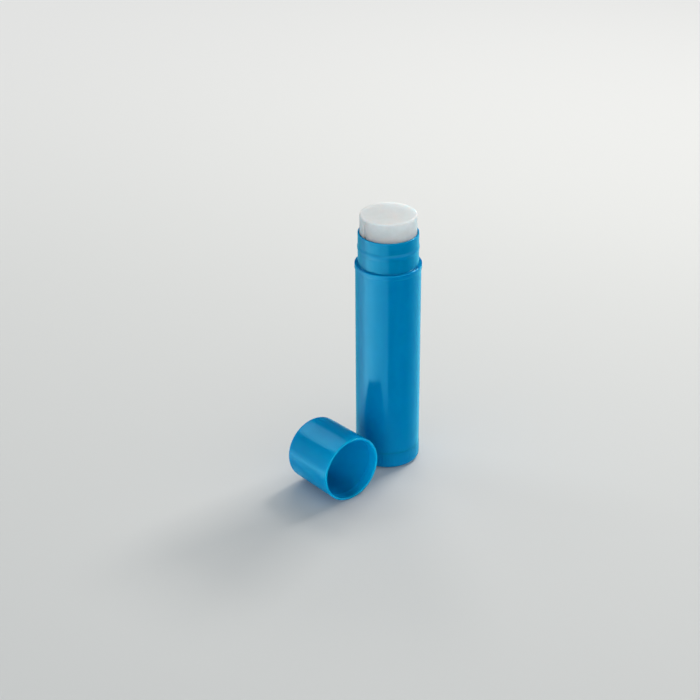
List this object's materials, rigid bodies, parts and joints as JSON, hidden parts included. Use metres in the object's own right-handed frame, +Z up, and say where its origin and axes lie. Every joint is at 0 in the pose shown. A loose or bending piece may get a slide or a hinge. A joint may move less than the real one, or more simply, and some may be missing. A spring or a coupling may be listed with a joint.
{
  "type": "lip balm stick",
  "caption": "Twist-up lip balm stick: a plain tube with a snap neck, a finely ribbed turning base, a screw that raises the balm, and a push-on cap laid beside it.",
  "frame": {"origin": "centre of the dial's flat underside, where the tube stands", "axes": "+Z up along the tube's axis, through the balm; the cap lies towards -Y and -X"},
  "size_m": [0.0326, 0.0346, 0.0663],
  "materials": {
    "blue_plastic": "satin-gloss moulded, blue",
    "dial_plastic": "satin-gloss moulded, blue, fluted",
    "cap_plastic": "satin-gloss moulded, blue, thin walled",
    "pale_plastic": "natural, slightly milky moulding",
    "balm_wax": "cast wax, milky white, soft sheen"
  },
  "bodies": {
    "barrel": {"barrel": "blue_plastic"},
    "dial": {"dial": "dial_plastic", "spindle": "pale_plastic"},
    "carrier": {"carrier": "pale_plastic", "balm": "balm_wax"},
    "cap": {"cap": "cap_plastic"}
  },
  "joints": [
    {"name": "dial_twist", "type": "hinge", "parent": "barrel", "child": "dial", "pos_m": [0, 0, 0], "axis": [0, 0, 1], "range_deg": [-577, 4321]},
    {"name": "balm_lift", "type": "slide", "parent": "barrel", "child": "carrier", "axis": [0, 0, 1], "range_m": [-0.0048, 0.036]},
    {"name": "cap_slide", "type": "slide", "parent": "barrel", "child": "cap", "axis": [-0.6347, 0.7727, 0], "range_m": [0, 0.06]}
  ],
  "couplings": [
    {"joint": "dial_twist", "follows": "balm_lift", "rad_per_m": 2094.4}
  ]
}
